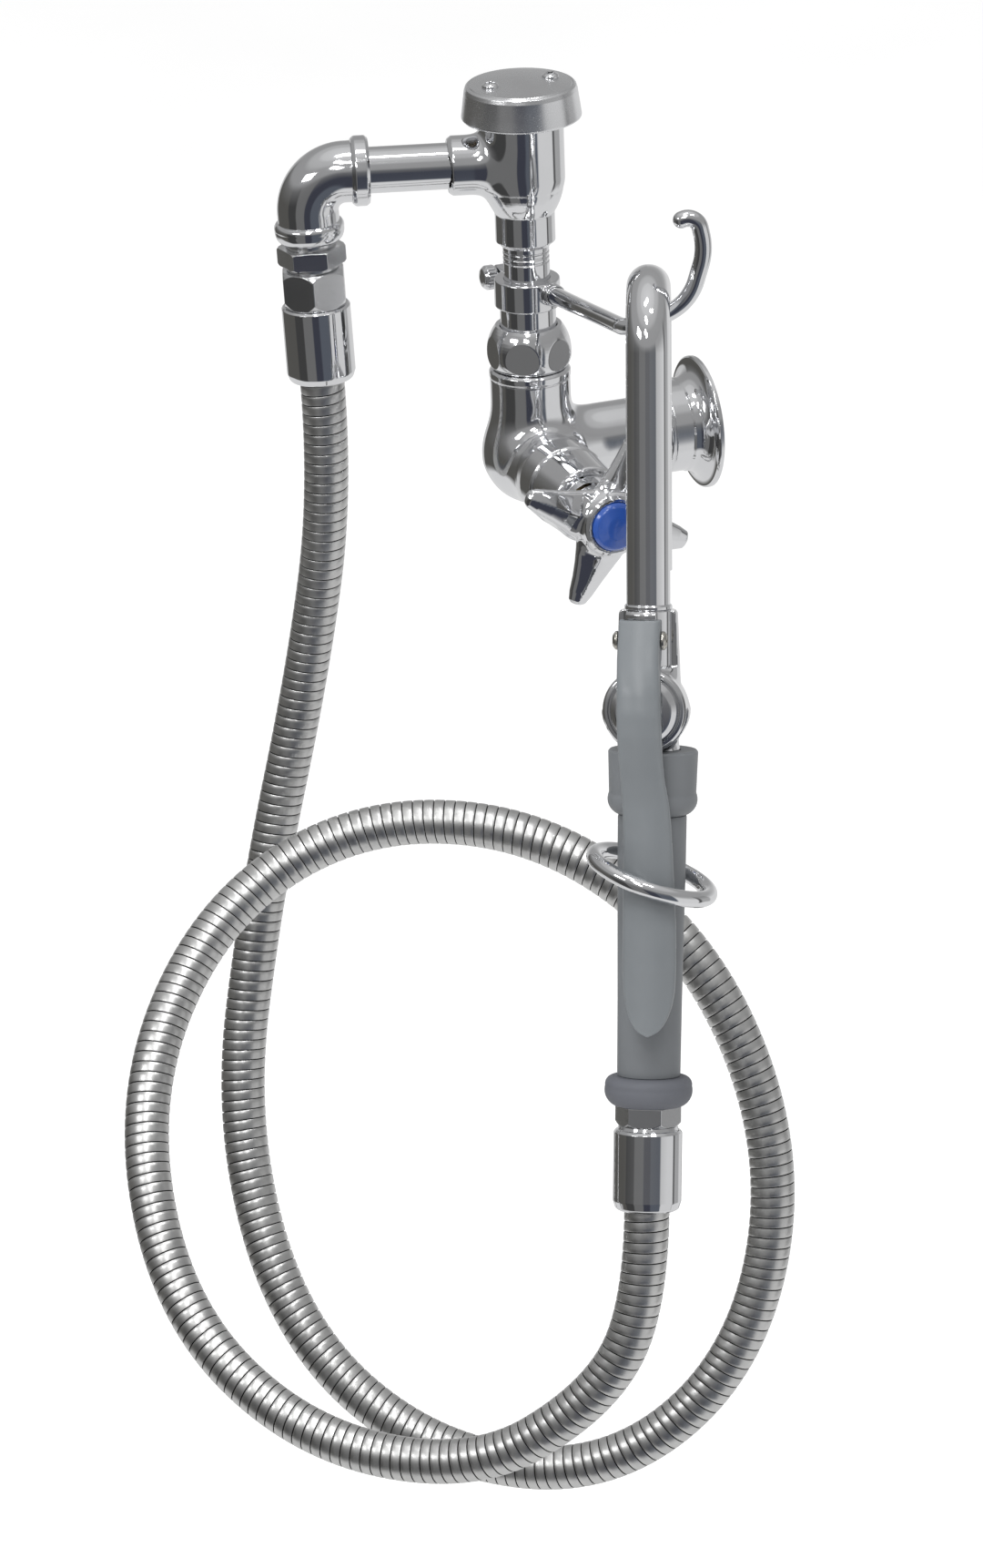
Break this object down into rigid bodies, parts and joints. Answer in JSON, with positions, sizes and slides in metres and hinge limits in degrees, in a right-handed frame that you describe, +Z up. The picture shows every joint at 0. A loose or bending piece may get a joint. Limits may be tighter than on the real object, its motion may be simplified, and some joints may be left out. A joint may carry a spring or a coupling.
{
  "type": "wall-mounted filling faucet with hose and hook nozzle",
  "caption": "Wall-mounted kitchen filling faucet: tap with four-arm handle, vacuum breaker on a riser, long metal hose, and squeeze-lever hook nozzle hung on a bent rod.",
  "frame": {"origin": "centre of the wall flange's back face, in the wall plane, on the inlet's axis", "axes": "+Y into the wall along the inlet, +Z up along the riser, +X towards the tap handle along its stem"},
  "size_m": [0.3058, 0.3175, 0.6423],
  "materials": {
    "black_rubber": "moulded black rubber",
    "blue_button": "glossy blue, plain",
    "brass_inner": "machined brass",
    "bumper_grey": "satin grey rubber",
    "chrome_plate": "polished chrome plate on brass",
    "dark_chrome": "satin chrome plate with a fine turned grain",
    "fibre": "red-brown fibre washer",
    "grip_grey": "satin grey plastic sleeve",
    "handle_chrome": "polished chrome plate, cast and hand polished",
    "hose_steel": "brushed stainless steel strip, wound and interlocked",
    "lever_grey": "satin grey coating on metal",
    "nozzle_chrome": "polished chrome plate on tube",
    "spring_steel": "drawn stainless spring wire",
    "steel_screw": "bright stainless steel",
    "white_ceramic": "lapped ceramic"
  },
  "bodies": {
    "faucet": {"wall_flange": "chrome_plate", "inlet_washer": "fibre", "valve_body": "chrome_plate", "seat_seal": "black_rubber", "fixed_ceramic_disc": "white_ceramic", "cartridge_housing": "brass_inner", "bonnet": "chrome_plate", "riser_nut": "chrome_plate", "riser_gasket": "black_rubber", "swivel_sleeve": "chrome_plate", "riser_nipple": "chrome_plate", "hook_clamp": "chrome_plate", "hook_arm": "chrome_plate", "vacuum_breaker_body": "dark_chrome", "air_inlet_seat": "brass_inner", "hood": "dark_chrome", "hood_screws": "steel_screw", "outlet_nipple": "chrome_plate", "elbow": "chrome_plate", "hose_adapter": "chrome_plate", "upper_hose_washer": "fibre", "hose_nut": "chrome_plate", "upper_ferrule": "chrome_plate", "hose": "hose_steel"},
    "tap_handle": {"stem": "brass_inner", "turning_ceramic_disc": "white_ceramic", "stem_o_ring": "black_rubber", "four_arm_handle": "handle_chrome", "handle_screw": "steel_screw", "index_button": "blue_button"},
    "thumbscrew": {"clamp_screw": "steel_screw"},
    "breaker_poppet": {"poppet": "grip_grey", "poppet_seal": "black_rubber"},
    "handset": {"hook_nozzle": "nozzle_chrome", "spray_valve_body": "chrome_plate", "valve_seat": "brass_inner", "valve_cap": "chrome_plate", "pivot_screws": "steel_screw", "guard_collar": "grip_grey", "handle_tube": "brass_inner", "grip": "grip_grey", "bumper_ring": "bumper_grey", "lower_hex_nut": "chrome_plate", "lower_hose_washer": "fibre", "lower_ferrule": "chrome_plate", "valve_spring": "spring_steel"},
    "valve_plunger": {"plunger": "brass_inner", "valve_washer": "black_rubber", "plunger_o_ring": "black_rubber"},
    "lever": {"squeeze_lever": "lever_grey"},
    "ring": {"hold_down_ring": "nozzle_chrome"}
  },
  "joints": [
    {"name": "tap_handle_turn", "type": "hinge", "parent": "faucet", "child": "tap_handle", "pos_m": [0, -0.0831, -0.0048], "axis": [1, 0, 0], "range_deg": [0, 90]},
    {"name": "clamp_screw_turn", "type": "hinge", "parent": "faucet", "child": "thumbscrew", "pos_m": [-0.0256, -0.0831, 0.0758], "axis": [0, -1, 0], "range_deg": [-360, 0]},
    {"name": "poppet_lift", "type": "slide", "parent": "faucet", "child": "breaker_poppet", "axis": [0, 0, 1], "range_m": [0, 0.0026]},
    {"name": "handset_lift", "type": "slide", "parent": "faucet", "child": "handset", "axis": [-0.22, 0.112, 0.969], "range_m": [0, 0.075]},
    {"name": "lever_squeeze", "type": "hinge", "parent": "handset", "child": "lever", "pos_m": [0.19419, -0.10699, -0.02611], "axis": [0.4726, 0.8812, 0.0054], "range_deg": [0, 3.3], "stiffness_Nm_per_rad": 1.5, "springref_deg": -8.59},
    {"name": "plunger_press", "type": "slide", "parent": "handset", "child": "valve_plunger", "axis": [-0.8534, 0.4592, -0.2468], "range_m": [0, 0.00188], "deforming": ["valve_spring"]},
    {"name": "ring_slide", "type": "slide", "parent": "handset", "child": "ring", "axis": [-0.22, 0.112, 0.969], "range_m": [0, 0.011]}
  ],
  "couplings": [
    {"joint": "plunger_press", "follows": "lever_squeeze", "m_per_rad": 0.031}
  ]
}
